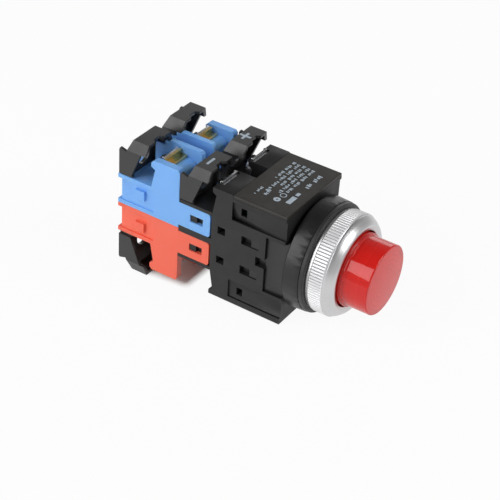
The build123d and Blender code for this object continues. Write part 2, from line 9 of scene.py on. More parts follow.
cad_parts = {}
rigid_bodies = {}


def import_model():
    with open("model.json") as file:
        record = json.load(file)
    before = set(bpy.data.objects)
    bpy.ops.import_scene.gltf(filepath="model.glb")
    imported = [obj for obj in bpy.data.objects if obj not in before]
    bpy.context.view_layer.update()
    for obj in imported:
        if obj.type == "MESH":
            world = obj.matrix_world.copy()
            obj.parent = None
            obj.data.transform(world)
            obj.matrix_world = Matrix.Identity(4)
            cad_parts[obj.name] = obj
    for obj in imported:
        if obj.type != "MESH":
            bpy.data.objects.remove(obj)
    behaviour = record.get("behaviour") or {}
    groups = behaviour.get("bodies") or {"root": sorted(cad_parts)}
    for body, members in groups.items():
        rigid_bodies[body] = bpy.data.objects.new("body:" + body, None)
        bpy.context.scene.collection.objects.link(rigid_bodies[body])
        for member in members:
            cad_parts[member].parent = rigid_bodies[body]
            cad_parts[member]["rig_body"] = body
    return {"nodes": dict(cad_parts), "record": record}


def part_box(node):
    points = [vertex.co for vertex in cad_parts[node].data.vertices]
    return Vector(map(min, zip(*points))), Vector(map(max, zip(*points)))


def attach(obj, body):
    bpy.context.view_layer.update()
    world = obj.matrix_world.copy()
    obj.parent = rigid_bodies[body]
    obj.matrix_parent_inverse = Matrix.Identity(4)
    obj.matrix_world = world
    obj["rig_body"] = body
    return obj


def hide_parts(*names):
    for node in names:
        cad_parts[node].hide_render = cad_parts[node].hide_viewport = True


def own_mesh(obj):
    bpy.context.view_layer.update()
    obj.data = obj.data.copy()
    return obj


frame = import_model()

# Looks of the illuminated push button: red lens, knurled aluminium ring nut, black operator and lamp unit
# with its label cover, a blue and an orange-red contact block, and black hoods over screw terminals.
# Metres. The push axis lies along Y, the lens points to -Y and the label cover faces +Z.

MM = 0.001

# Ring nut: outline as (radius, y) in millimetres, and the band that holds the knurl
RING_OUTLINE = [
    (14.85, 0.0), (17.25, 0.0), (17.25, -1.15), (17.5, -1.3), (17.5, -6.0), (17.1, -6.25), (17.1, -6.6),
    (16.6, -7.5), (15.6, -8.75), (14.9, -9.3), (14.5, -9.4), (14.3, -9.35), (12.95, -8.9), (12.95, -7.3),
    (14.85, -7.3)]
RING_RADIUS = 17.5 * MM
BAND_FRONT = -6.0 * MM
BAND_REAR = -1.3 * MM
BAND_ROWS = 12
KNURL_COUNT = 107
KNURL_STEPS = 8
KNURL_DEPTH = 0.30 * MM
KNURL_STEEPNESS = 1.9
KNURL_FRONT = -6.1 * MM
KNURL_REAR = -1.2 * MM
KNURL_FADE_FRONT = 0.35 * MM
KNURL_FADE_REAR = 0.12 * MM

# Lens: outline as (radius, y) in millimetres, and the flutes and rings in it
LENS_OUTLINE = [
    (0.0, -19.0), (11.6, -19.0), (11.9, -18.7), (11.9, -10.45), (12.5, -10.2), (12.5, -6.8), (11.9, -6.8),
    (11.9, -4.6), (10.75, -4.6), (10.75, -16.9), (10.3, -17.55), (0.0, -17.6)]
LENS_STEPS = 192
LENS_WALL_INNER = 10.75 * MM
LENS_WALL_FRONT = -6.0 * MM
LENS_FLUTES = 48
LENS_FLUTE_DEPTH = 0.16 * MM
LENS_RING_PITCH = 1.5 * MM
DIFFUSER_STEPS = 96

# Spark-eroded grain of the moulded plastics
GRAIN_PER_METRE = 2600.0
GRAIN_DEPTH = 0.02 * MM

# Ink on the label cover and the lamp hood
PRINT_HEIGHT = 0.03 * MM
PRINT_LIFT = 0.01 * MM
HUMP_SET_DOWN = 0.05 * MM

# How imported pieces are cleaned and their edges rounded
WELD = 0.0005 * MM
SAME_PLANE = math.radians(0.5)
EDGE_ROUND = 0.16 * MM
EDGE_ROUND_METAL = 0.08 * MM
EDGE_FROM_ANGLE = math.radians(32)
EDGE_SEGMENTS = 2

# The photograph's camera, in the object's own frame
CAMERA_PLACE = Vector((-339.75, -175.95, 273.1)) * MM
CAMERA_RIGHT = Vector((0.5530, -0.8313, 0.0558))
CAMERA_BACK = Vector((-0.6955, -0.4237, 0.5803))
SENSOR_WIDTH = 36.0
LENS_LENGTH = 106.4

# The object lies on its lower hoods and on the lower front edge of the lamp unit
REST_FRONT = Vector((0, 8.6, -20.8)) * MM
REST_REAR = Vector((0, 61.6, -25.5)) * MM

# The rounded noses of the two blocks' floors, under the screws' ends
NOSE_RADIUS = 3.6 * MM
NOSE_AXIS_Y = 53.4 * MM
NOSE_AXIS_Z = 15.0 * MM
NOSE_ARC = (36.0, 66.0)
NOSE_SKIN = 0.1 * MM
NOSE_SKIN_HALF = 1.8 * MM
SCREW_X = 8.6 * MM

# How far the floor reaches; it is short in front, where it would rise before the lens
FLOOR_SIDE = 0.6
FLOOR_FRONT = 0.13
FLOOR_REAR = 0.6
FLOOR_GAP = 0.1 * MM

# Share of plain white in the floor, as each kind of ray sees it; the rest is lit and keeps the shadow
FLOOR_WHITE = {"Is Camera Ray": 0.93, "Is Transmission Ray": 0.93, "Is Glossy Ray": 0.78}

# Floor right under the blocks, where the shadow is left as it falls: where it is full and where it has gone,
# sideways, at the front and at the rear
SHADE_SIDE = (12.0 * MM, 15.5 * MM)
SHADE_FRONT = (48.0 * MM, 44.8 * MM)
SHADE_REAR = (66.0 * MM, 71.0 * MM)

# Soft lights: place, width and height in metres, and power in watts
LIGHTS = {
    "left_box": ((-0.680, 0.425, 0.415), 0.60, 0.92, 5.4),
    "front_box": ((0.130, -0.680, 0.560), 0.52, 0.42, 3.2),
    "right_box": ((0.75, 0.40, 0.22), 0.5, 0.3, 0.6),
}
LIGHTS_AIM = Vector((0, 30, 0)) * MM


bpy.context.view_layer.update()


# Materials

def blank_material(name):
    """A new material with its shader and node tree."""
    material = bpy.data.materials.new(name)
    material.use_nodes = True
    tree = material.node_tree
    shader = next(node for node in tree.nodes if node.type == "BSDF_PRINCIPLED")
    return material, tree, shader


def place_on_piece(tree, stretch=(1.0, 1.0, 1.0)):
    """The point on the piece in its own frame, stretched along each axis."""
    point = tree.nodes.new("ShaderNodeTexCoord")
    mapping = tree.nodes.new("ShaderNodeMapping")
    mapping.inputs["Scale"].default_value = stretch
    tree.links.new(point.outputs["Object"], mapping.inputs["Vector"])
    return mapping.outputs["Vector"]


def axes_of(tree, place):
    """The three parts of a point, by the names X, Y and Z."""
    split = tree.nodes.new("ShaderNodeSeparateXYZ")
    tree.links.new(place, split.inputs[0])
    return split.outputs


def maths(tree, operation, first, second=None):
    """Result of an operation on a value alone, or with a second value or a plain number."""
    node = tree.nodes.new("ShaderNodeMath")
    node.operation = operation
    tree.links.new(first, node.inputs[0])
    if isinstance(second, bpy.types.NodeSocket):
        tree.links.new(second, node.inputs[1])
    elif second is not None:
        node.inputs[1].default_value = second
    return node.outputs[0]


def place_round_axis(tree):
    """The point given as (distance from the push axis, place along it), so that a pattern runs in rings."""
    flat = tree.nodes.new("ShaderNodeVectorMath")
    flat.operation = "LENGTH"
    tree.links.new(place_on_piece(tree, (1.0, 0.0, 1.0)), flat.inputs[0])
    joined = tree.nodes.new("ShaderNodeCombineXYZ")
    tree.links.new(flat.outputs["Value"], joined.inputs["X"])
    tree.links.new(axes_of(tree, place_on_piece(tree))["Y"], joined.inputs["Y"])
    return joined.outputs["Vector"]


def noise(tree, place, per_metre, detail=3.0):
    """Cloudy pattern with so many lumps to the metre."""
    clouds = tree.nodes.new("ShaderNodeTexNoise")
    clouds.inputs["Scale"].default_value = per_metre
    clouds.inputs["Detail"].default_value = detail
    tree.links.new(place, clouds.inputs["Vector"])
    return clouds.outputs[0]


def spread(tree, pattern, low, high, start=0.3, end=0.7):
    """A pattern's values carried to the range from low to high."""
    ramp = tree.nodes.new("ShaderNodeMapRange")
    ramp.inputs["From Min"].default_value = start
    ramp.inputs["From Max"].default_value = end
    ramp.inputs["To Min"].default_value = low
    ramp.inputs["To Max"].default_value = high
    tree.links.new(pattern, ramp.inputs["Value"])
    return ramp.outputs["Result"]


def blended_colour(tree, pattern, first, second):
    """Colour that goes from first to second as the pattern goes from 0 to 1."""
    mix = tree.nodes.new("ShaderNodeMix")
    mix.data_type = "RGBA"
    colour_inputs = [socket for socket in mix.inputs if socket.type == "RGBA"]
    colour_inputs[0].default_value = (*first, 1.0)
    colour_inputs[1].default_value = (*second, 1.0)
    tree.links.new(pattern, mix.inputs["Factor"])
    return next(socket for socket in mix.outputs if socket.type == "RGBA")


def relief(tree, pattern, depth):
    """Surface normal raised by a pattern to a depth in metres."""
    bump = tree.nodes.new("ShaderNodeBump")
    bump.inputs["Distance"].default_value = depth
    tree.links.new(pattern, bump.inputs["Height"])
    return bump.outputs["Normal"]


def moulded_plastic(name, colour, darker, gloss, sockets=None):
    """Injection-moulded plastic: spark-eroded grain, slow waves of gloss and a faintly uneven colour."""
    material, tree, shader = blank_material(name)
    place = place_on_piece(tree)
    tone = spread(tree, noise(tree, place, 70.0), 0.0, 1.0)
    grain = noise(tree, place, GRAIN_PER_METRE, 2.0)
    tree.links.new(blended_colour(tree, tone, darker, colour), shader.inputs["Base Color"])
    tree.links.new(spread(tree, noise(tree, place, 240.0), *gloss), shader.inputs["Roughness"])
    tree.links.new(relief(tree, grain, GRAIN_DEPTH), shader.inputs["Normal"])
    for socket, value in (sockets or {}).items():
        shader.inputs[socket].default_value = value
    return material


def red_lens():
    """Clear red acrylic: faint moulded rings round the axis, whose tone follows sin(2 pi r / pitch), and a
    deeper red band of painted shade where the wall meets the face."""
    material, tree, shader = blank_material("red_lens")
    distance = axes_of(tree, place_round_axis(tree))["X"]
    clouds = noise(tree, place_round_axis(tree), 900.0, 2.0)
    wave = maths(tree, "SINE", maths(tree, "MULTIPLY", distance, 2 * math.pi / LENS_RING_PITCH))
    rings = spread(tree, wave, 0.0, 1.0, -1.0, 1.0)
    # Painted shade: the rings fade out near the inner wall, which leaves a darker red band there
    wall = spread(tree, distance, 1.0, 0.0, LENS_WALL_INNER - 0.5 * MM, LENS_WALL_INNER)
    tone = maths(tree, "MAXIMUM", maths(tree, "MULTIPLY", rings, wall), spread(tree, clouds, 0.2, 0.7))
    tree.links.new(blended_colour(tree, tone, (0.85, 0.007, 0.003), (0.98, 0.026, 0.018)),
                   shader.inputs["Base Color"])
    tree.links.new(spread(tree, clouds, 0.02, 0.05), shader.inputs["Roughness"])
    tree.links.new(relief(tree, clouds, 0.004 * MM), shader.inputs["Normal"])
    shader.inputs["Transmission Weight"].default_value = 0.4
    shader.inputs["IOR"].default_value = 1.49
    return material


def red_diffuser():
    """Milky red disc behind the lens face."""
    material, tree, shader = blank_material("red_diffuser")
    rings = noise(tree, place_round_axis(tree), 700.0, 2.0)
    tone = spread(tree, rings, 0.0, 1.0)
    tree.links.new(blended_colour(tree, tone, (0.74, 0.30, 0.28), (1.0, 0.80, 0.78)),
                   shader.inputs["Base Color"])
    tree.links.new(spread(tree, rings, 0.35, 0.5), shader.inputs["Roughness"])
    shader.inputs["Subsurface Weight"].default_value = 0.3
    shader.inputs["Subsurface Scale"].default_value = 1.0 * MM
    return material


def circuit_green():
    """Solder-masked board, with a weave of glass fibre under the lacquer."""
    material, tree, shader = blank_material("circuit_green")
    weave = noise(tree, place_on_piece(tree, (1.0, 4.0, 1.0)), 900.0)
    tone = spread(tree, weave, 0.0, 1.0)
    tree.links.new(blended_colour(tree, tone, (0.02, 0.16, 0.05), (0.04, 0.24, 0.09)),
                   shader.inputs["Base Color"])
    tree.links.new(spread(tree, weave, 0.25, 0.4), shader.inputs["Roughness"])
    return material


def metal(name, colour, darker, gloss, per_metre, depth, stretch=None):
    """Metal with drawn or rolled marks, a noise stretched along them; without a stretch the marks are turned
    ones and run round the axis."""
    material, tree, shader = blank_material(name)
    place = place_on_piece(tree, stretch) if stretch else place_round_axis(tree)
    marks = noise(tree, place, per_metre, 4.0)
    stains = spread(tree, noise(tree, place_on_piece(tree), 120.0), 0.0, 1.0)
    tree.links.new(blended_colour(tree, stains, darker, colour), shader.inputs["Base Color"])
    tree.links.new(spread(tree, marks, *gloss), shader.inputs["Roughness"])
    tree.links.new(relief(tree, marks, depth), shader.inputs["Normal"])
    shader.inputs["Metallic"].default_value = 1.0
    return material


def knurled_aluminium():
    """Satin aluminium with painted shade in the knurl: the colour darkens from the crests into the grooves,
    by distance from the axis.
    """
    material, tree, shader = blank_material("knurled_aluminium")
    distance = axes_of(tree, place_round_axis(tree))["X"]
    # Painted shade: the colour goes from pale at the crests to dark at the bottom of each groove
    height = spread(tree, distance, 0.0, 1.0, RING_RADIUS - KNURL_DEPTH, RING_RADIUS - 0.15 * KNURL_DEPTH)
    tree.links.new(blended_colour(tree, height, (0.34, 0.34, 0.36), (0.80, 0.80, 0.81)),
                   shader.inputs["Base Color"])
    wear = noise(tree, place_on_piece(tree), 900.0)
    tree.links.new(spread(tree, wear, 0.36, 0.50), shader.inputs["Roughness"])
    shader.inputs["Metallic"].default_value = 0.45
    return material


def pad_print():
    """Pale grey-blue ink, a little thin and speckled."""
    material, tree, shader = blank_material("pad_print")
    specks = noise(tree, place_on_piece(tree), 2200.0, 2.0)
    tone = spread(tree, specks, 0.0, 1.0)
    tree.links.new(blended_colour(tree, tone, (0.30, 0.36, 0.42), (0.52, 0.60, 0.68)),
                   shader.inputs["Base Color"])
    tree.links.new(spread(tree, specks, 0.5, 0.7), shader.inputs["Roughness"])
    return material


# Moulded plastics and rubber by their slot; the black of the operator is smoother, so that the collar's flank
# mirrors the light softly, and the blue and the orange-red let some light in, so that thin walls glow
MOULDED = {
    "black_plastic": dict(
        name="black_plastic", colour=(0.020, 0.020, 0.020), darker=(0.015, 0.015, 0.015), gloss=(0.42, 0.54),
        sockets={"Specular IOR Level": 0.35}),
    "label_black": dict(
        name="label_black", colour=(0.023, 0.021, 0.017), darker=(0.018, 0.016, 0.013), gloss=(0.42, 0.54),
        sockets={"Specular IOR Level": 0.4}),
    "hood_black": dict(
        name="hood_black", colour=(0.026, 0.026, 0.026), darker=(0.021, 0.021, 0.021), gloss=(0.28, 0.38),
        sockets={"Specular IOR Level": 0.55}),
    "operator_black": dict(
        name="operator_black", colour=(0.009, 0.009, 0.010), darker=(0.007, 0.007, 0.008), gloss=(0.30, 0.40),
        sockets={"Specular IOR Level": 0.5}),
    "black_rubber": dict(
        name="black_rubber", colour=(0.014, 0.014, 0.015), darker=(0.010, 0.010, 0.011), gloss=(0.46, 0.60),
        sockets={"Sheen Weight": 0.1}),
    "blue_plastic": dict(
        name="blue_plastic", colour=(0.202, 0.460, 0.90), darker=(0.186, 0.435, 0.88), gloss=(0.32, 0.42),
        sockets={"Subsurface Weight": 0.35, "Subsurface Radius": (0.35, 0.6, 1.0),
                 "Subsurface Scale": 1.5 * MM}),
    "red_plastic": dict(
        name="orange_red_plastic", colour=(0.91, 0.156, 0.090), darker=(0.89, 0.138, 0.078),
        gloss=(0.32, 0.42),
        sockets={"Subsurface Weight": 0.35, "Subsurface Radius": (1.0, 0.25, 0.15),
                 "Subsurface Scale": 1.5 * MM}),
    "white_plastic": dict(
        name="white_plastic", colour=(0.80, 0.79, 0.76), darker=(0.74, 0.73, 0.70), gloss=(0.40, 0.52)),
    "lamp_plastic": dict(
        name="lamp_plastic", colour=(0.80, 0.22, 0.18), darker=(0.72, 0.18, 0.15), gloss=(0.15, 0.25),
        sockets={"Coat Weight": 0.5}),
}

# Metals by their slot: the ring nut's is turned, the brass and the contact strips are rolled
METALS = {
    "satin_aluminium": dict(
        colour=(0.66, 0.66, 0.67), darker=(0.62, 0.62, 0.63), gloss=(0.30, 0.38), per_metre=5200.0,
        depth=0.002 * MM),
    "zinc_steel": dict(
        colour=(0.84, 0.85, 0.86), darker=(0.72, 0.73, 0.75), gloss=(0.20, 0.38), per_metre=1500.0,
        depth=0.006 * MM, stretch=(1.0, 1.0, 1.0)),
    "brass": dict(
        colour=(0.76, 0.58, 0.27), darker=(0.70, 0.53, 0.24), gloss=(0.12, 0.22), per_metre=1400.0,
        depth=0.001 * MM, stretch=(1.0, 1.0, 8.0)),
    "spring_steel": dict(
        colour=(0.62, 0.62, 0.62), darker=(0.50, 0.50, 0.51), gloss=(0.25, 0.40), per_metre=2400.0,
        depth=0.004 * MM, stretch=(1.0, 1.0, 1.0)),
    "silver_contact": dict(
        colour=(0.88, 0.87, 0.84), darker=(0.78, 0.77, 0.74), gloss=(0.22, 0.36), per_metre=1600.0,
        depth=0.003 * MM, stretch=(8.0, 1.0, 1.0)),
}

finishes = {slot: moulded_plastic(**look) for slot, look in MOULDED.items()}
finishes.update({slot: metal(slot, **look) for slot, look in METALS.items()})
finishes.update({
    "knurled_aluminium": knurled_aluminium(),
    "red_lens": red_lens(),
    "red_diffuser": red_diffuser(),
    "green_board": circuit_green(),
    "pad_print": pad_print(),
})
slot_of_node = {part["node"]: part["material_slot"] for part in frame["record"]["subparts"]}
body_of_node = {name: piece["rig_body"] for name, piece in frame["nodes"].items()}


# Meshes

def grid_quads(rows, columns, rows_closed=False, columns_closed=False):
    """Quads between neighbouring points of a grid; a closed direction joins its last line to its first."""
    row = np.arange(rows if rows_closed else rows - 1)
    column = np.arange(columns if columns_closed else columns - 1)
    i, j = np.meshgrid(row, column, indexing="ij")
    down = (i + 1) % rows
    across = (j + 1) % columns
    corner = [i * columns + j, i * columns + across, down * columns + across, down * columns + j]
    return np.stack(corner, axis=-1).reshape(-1, 4)


def new_piece(name, points, faces, finish, body, smooth_angle=30.0):
    """A mesh piece from arrays of points and faces, welded, facing outwards and riding on a body."""
    mesh = bpy.data.meshes.new(name)
    mesh.from_pydata(points.reshape(-1, 3).tolist(), [], faces.tolist())
    welded = bmesh.new()
    welded.from_mesh(mesh)
    bmesh.ops.remove_doubles(welded, verts=welded.verts, dist=WELD)
    bmesh.ops.recalc_face_normals(welded, faces=welded.faces)
    welded.to_mesh(mesh)
    welded.free()
    mesh.shade_smooth()
    mesh.set_sharp_from_angle(angle=math.radians(smooth_angle))
    mesh.materials.append(finishes[finish])
    piece = bpy.data.objects.new(name, mesh)
    bpy.context.scene.collection.objects.link(piece)
    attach(piece, body)
    return piece


def turned_surface(radius, along, steps):
    """Points of a profile (radius, place along Y) carried round the push axis: x = r cos a, z = r sin a.
    The radius may have one column per step, for a rim that changes round the axis."""
    angle = 2 * np.pi * np.arange(steps) / steps
    radius = np.broadcast_to(radius, (len(along), steps))
    along = np.broadcast_to(along[:, None], (len(along), steps))
    return np.stack([radius * np.cos(angle), along, radius * np.sin(angle)], axis=-1)


def rounded_profile(corners_mm, arc=0.2, arc_steps=4):
    """Closed outline of (radius, y) corners in millimetres with each corner cut by a small quadratic curve:
    (1-t)^2 a + 2t(1-t) corner + t^2 b, where a and b lie on the two sides."""
    corner = np.array(corners_mm, float)
    before = np.roll(corner, 1, axis=0) - corner
    after = np.roll(corner, -1, axis=0) - corner
    reach_before = np.minimum(arc, 0.45 * np.linalg.norm(before, axis=1))[:, None]
    reach_after = np.minimum(arc, 0.45 * np.linalg.norm(after, axis=1))[:, None]
    a = corner + before / np.linalg.norm(before, axis=1)[:, None] * reach_before
    b = corner + after / np.linalg.norm(after, axis=1)[:, None] * reach_after
    t = np.linspace(0, 1, arc_steps)[None, :, None]
    curve = (1 - t) ** 2 * a[:, None] + 2 * t * (1 - t) * corner[:, None] + t ** 2 * b[:, None]
    return curve.reshape(-1, 2) * MM


def paint_band(piece, finish, front, rear):
    """Gives the outer faces whose middle lies between two places along Y a finish of their own."""
    mesh = piece.data
    mesh.materials.append(finishes[finish])
    middle = np.zeros(len(mesh.polygons) * 3)
    mesh.polygons.foreach_get("center", middle)
    middle = middle.reshape(-1, 3)
    outside = np.hypot(middle[:, 0], middle[:, 2]) > RING_RADIUS - 1.2 * KNURL_DEPTH
    banded = outside & (middle[:, 1] > front) & (middle[:, 1] < rear)
    mesh.polygons.foreach_set("material_index", banded.astype(np.int32))


def ring_nut():
    """Knurled ring nut: a profile turned about the axis, whose radius in the knurled band falls into a
    rounded groove between ridges: depth * (1 - clip(s cos(n a) + s, 0, 1)), for a steepness s."""
    profile = rounded_profile(RING_OUTLINE, arc=0.3, arc_steps=5)
    rows = np.linspace(BAND_REAR, BAND_FRONT, BAND_ROWS)[1:-1]
    before = int(np.argmax((profile[:, 0] > RING_RADIUS - 0.05 * MM) & (profile[:, 1] < -2.0 * MM)))
    band = np.stack([np.full(len(rows), RING_RADIUS), rows], axis=-1)
    profile = np.concatenate([profile[:before], band, profile[before:]])
    steps = KNURL_COUNT * KNURL_STEPS
    angle = 2 * np.pi * np.arange(steps) / steps
    ridge = np.clip(KNURL_STEEPNESS * np.cos(KNURL_COUNT * angle) + KNURL_STEEPNESS, 0, 1)
    place = profile[:, 1]
    fade = (np.clip((place - KNURL_FRONT) / KNURL_FADE_FRONT, 0, 1)
            * np.clip((KNURL_REAR - place) / KNURL_FADE_REAR, 0, 1))
    on_band = (profile[:, 0] > RING_RADIUS - 0.3 * MM) * fade
    radius = profile[:, :1] - KNURL_DEPTH * on_band[:, None] * (1 - ridge[None, :])
    points = turned_surface(radius, place, steps)
    faces = grid_quads(len(place), steps, rows_closed=True, columns_closed=True)
    nut = new_piece("ring_nut_knurled", points, faces, "satin_aluminium", "base", 40.0)
    paint_band(nut, "knurled_aluminium", KNURL_FRONT, KNURL_REAR)
    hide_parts("bezel_ring")


def lens():
    """Clear lens: outer wall turned smooth, inner wall with fine flutes, whose inner radius is
    r - depth * (1 - cos(n a)) / 2."""
    profile = rounded_profile(LENS_OUTLINE, arc=0.15, arc_steps=4)
    profile[profile[:, 0] < 0.3 * MM, 0] = 0.0
    angle = 2 * np.pi * np.arange(LENS_STEPS) / LENS_STEPS
    flute = 0.5 * LENS_FLUTE_DEPTH * (np.cos(LENS_FLUTES * angle) - 1)
    inner_wall = (np.abs(profile[:, 0] - LENS_WALL_INNER) < 0.05 * MM) & (profile[:, 1] < LENS_WALL_FRONT)
    radius = profile[:, :1] + inner_wall[:, None] * flute[None, :]
    points = turned_surface(radius, profile[:, 1], LENS_STEPS)
    faces = grid_quads(len(profile), LENS_STEPS, columns_closed=True)
    clear = new_piece("lens_clear", points, faces, "red_lens", "button", 40.0)
    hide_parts("lens_cap")


def diffuser():
    """Disc behind the lens face with raised rings: y = seat + h (1 + cos(2 pi r / pitch)) / 2, and a flat dot
    in the middle."""
    seat, back, rim, pitch, height = -17.5, -16.15, 10.6, 1.5, 0.45
    radius = np.linspace(0.0, rim, 85)
    wave = seat + height * (1 + np.cos(2 * np.pi * radius / pitch)) / 2
    wave[radius < 0.9] = seat
    edge = np.array([rim, rim, 0.0])
    edge_y = np.array([seat + height, back, back])
    along = np.concatenate([wave, edge_y]) * MM
    points = turned_surface(np.concatenate([radius, edge])[:, None] * MM, along, DIFFUSER_STEPS)
    faces = grid_quads(len(along), DIFFUSER_STEPS, columns_closed=True)
    disc = new_piece("diffuser_rings", points, faces, "red_diffuser", "button", 50.0)
    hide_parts("lens_diffuser")


def rounded_copy(node, finish, edge):
    """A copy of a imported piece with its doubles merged, its flat faces joined and its edges rounded. Joined
    faces with a dent in their outline are split again, because they could be filled wrongly."""
    mesh = frame["nodes"][node].data.copy()
    mesh.name = node + "_finished"
    merged = bmesh.new()
    merged.from_mesh(mesh)
    bmesh.ops.remove_doubles(merged, verts=merged.verts, dist=WELD)
    bmesh.ops.dissolve_limit(merged, angle_limit=SAME_PLANE, verts=merged.verts, edges=merged.edges)
    bmesh.ops.connect_verts_concave(merged, faces=merged.faces)
    merged.to_mesh(mesh)
    merged.free()
    mesh.materials.clear()
    mesh.materials.append(finishes[finish])
    mesh.shade_smooth()
    mesh.set_sharp_from_angle(angle=math.radians(30))
    piece = bpy.data.objects.new(node + "_finished", mesh)
    bpy.context.scene.collection.objects.link(piece)
    if edge:
        bevel = piece.modifiers.new("edge", "BEVEL")
        bevel.width = edge
        bevel.segments = EDGE_SEGMENTS
        bevel.limit_method = "ANGLE"
        bevel.angle_limit = EDGE_FROM_ANGLE
        bevel.harden_normals = True
    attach(piece, body_of_node[node])
    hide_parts(node)
    return piece


def printed_bars(name, bars, height):
    """Thin printed bars on a face that looks to +Z, each (x0, x1, y0, y1) in millimetres, as small boxes."""
    bar = np.array(bars, float) * MM
    low = height * MM + PRINT_LIFT
    x = bar[:, [0, 1, 1, 0]]
    y = bar[:, [2, 2, 3, 3]]
    lower = np.stack([x, y, np.full_like(x, low)], axis=-1)
    upper = np.stack([x, y, np.full_like(x, low + PRINT_HEIGHT)], axis=-1)
    points = np.concatenate([lower, upper], axis=1)
    sides = np.array([[0, 1, 5, 4], [1, 2, 6, 5], [2, 3, 7, 6], [3, 0, 4, 7], [0, 3, 2, 1], [4, 5, 6, 7]])
    faces = (sides[None] + 8 * np.arange(len(bar))[:, None, None]).reshape(-1, 4)
    new_piece(name, points, faces, "pad_print", "base")


def printed_circle(name, x, y, outer, inner, height):
    """Thin printed ring on a face that looks to +Z: a square profile carried round a circle."""
    steps = 32
    angle = 2 * np.pi * np.arange(steps) / steps
    low = height * MM + PRINT_LIFT
    radius = np.array([inner, outer, outer, inner])[:, None] * MM
    level = np.array([low, low, low + PRINT_HEIGHT, low + PRINT_HEIGHT])[:, None]
    points = np.stack([x * MM + radius * np.cos(angle), y * MM + radius * np.sin(angle),
                       np.broadcast_to(level, (4, steps))], axis=-1)
    faces = grid_quads(4, steps, rows_closed=True, columns_closed=True)
    new_piece(name, points, faces, "pad_print", "base")


def polarity_signs():
    """Minus on the left hump and plus on the right one, on the lamp hood's top face."""
    top = (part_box("lamp_terminal_hood")[1].z - HUMP_SET_DOWN) / MM
    half, thick = 2.1, 0.45
    minus_x, plus_x, sign_y = -10.6, 9.0, 41.2
    printed_bars("minus_sign", [(minus_x - half, minus_x + half, sign_y - thick, sign_y + thick)], top)
    printed_bars("plus_sign", [(plus_x - half, plus_x + half, sign_y - thick, sign_y + thick),
                               (plus_x - thick, plus_x + thick, sign_y + thick, sign_y + half),
                               (plus_x - thick, plus_x + thick, sign_y - half, sign_y - thick)], top)


def dash_row(start, end, y, tall, pitch):
    """Short dashes from start to end, whose lengths and heights follow fixed waves, like a line of small
    print without any letters; every fifth place stays empty."""
    count = int((end - start) / pitch)
    k = np.array([i for i in range(count) if (i + int(y)) % 5 != 4])
    length = pitch * (0.60 + 0.18 * np.sin(2.4 * k + y))
    x = start + k * pitch
    low = y + tall * (0.12 + 0.12 * np.sin(1.7 * k + 2 * y))
    high = y + tall * (0.88 + 0.12 * np.sin(3.1 * k + y))
    return np.stack([x, x + length, low, high], axis=-1)


def label_print():
    """Generic dashes where the real cover has its printing: five rows of small print, a wider row in front,
    and plain marks beside them."""
    cover_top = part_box("label_cover")[1].z / MM
    row_starts = [-4.5, -6.0, -3.0, -7.5, 0.5]
    rows = [dash_row(start, 12.5, 15.6 + 1.85 * k, 1.25, 0.85) for k, start in enumerate(row_starts)]
    rows.append(dash_row(1.4, 12.4, 11.9, 1.7, 1.15))
    rows.append(dash_row(-11.3, -6.0, 23.4, 1.1, 0.85))
    rows.append(dash_row(-9.8, -5.6, 20.4, 1.2, 0.9))
    rows.append(np.array([(-9.6, -5.2, 11.9, 13.6), (-4.3, -2.5, 12.2, 13.4)]))
    printed_bars("label_dashes", np.concatenate(rows), cover_top)
    printed_circle("label_ring", -9.7, 16.6, 1.15, 0.35, cover_top)
    printed_circle("label_hoop", -6.6, 16.2, 1.15, 0.85, cover_top)


def nose_skins():
    """Thin curved skins that close the blocks' rounded noses over the screws' ends: y = yc - r cos a,
    z = zc + r sin a, over the nose's arc of a."""
    angle = np.radians(np.linspace(*NOSE_ARC, 13))
    for block, finish, up in (("no", "blue_plastic", 1), ("nc", "red_plastic", -1)):
        for side, x in (("left", -SCREW_X), ("right", SCREW_X)):
            layers = []
            for radius in (NOSE_RADIUS + 0.01 * MM, NOSE_RADIUS - NOSE_SKIN):
                y = NOSE_AXIS_Y - radius * np.cos(angle)
                z = up * (NOSE_AXIS_Z + radius * np.sin(angle))
                edges = [np.stack([np.full_like(y, x + NOSE_SKIN_HALF * i), y, z], axis=-1) for i in (-1, 1)]
                layers += edges if radius > NOSE_RADIUS else edges[::-1]
            faces = grid_quads(4, len(angle), rows_closed=True)
            ends = np.array([[0, 1, 2, 3]]) * len(angle)
            faces = np.concatenate([faces, ends, ends + len(angle) - 1])
            new_piece(f"{block}_{side}_nose_skin", np.array(layers), faces, finish, "base", 40.0)


def set_down_top(piece, depth):
    """Lowers a piece's topmost face by a depth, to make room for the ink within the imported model's box."""
    mesh = piece.data
    place = np.zeros(len(mesh.vertices) * 3)
    mesh.vertices.foreach_get("co", place)
    place = place.reshape(-1, 3)
    place[:, 2] = np.minimum(place[:, 2], place[:, 2].max() - depth)
    mesh.vertices.foreach_set("co", place.ravel())
    mesh.update()


ring_nut()
lens()
diffuser()
polarity_signs()
label_print()
nose_skins()

drawn_here = {"bezel_ring", "lens_cap", "lens_diffuser"}
kept_sharp = {"return_spring", "no_contact_spring", "nc_contact_spring", "led_lamp", "driver_board"}
small_metal = {"brass", "zinc_steel", "silver_contact"}
other_finish = {"operator_housing": "operator_black", "lamp_minus_terminal": "zinc_steel",
                "lamp_plus_terminal": "zinc_steel"}
for node in sorted(frame["nodes"]):
    if node in drawn_here:
        continue
    slot = slot_of_node[node]
    edge = EDGE_ROUND_METAL if slot in small_metal else EDGE_ROUND
    piece = rounded_copy(node, other_finish.get(node, slot), 0.0 if node in kept_sharp else edge)
    if node == "lamp_terminal_hood":
        set_down_top(piece, HUMP_SET_DOWN)
    if node == "return_spring":
        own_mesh(piece)


# Floor, light and camera

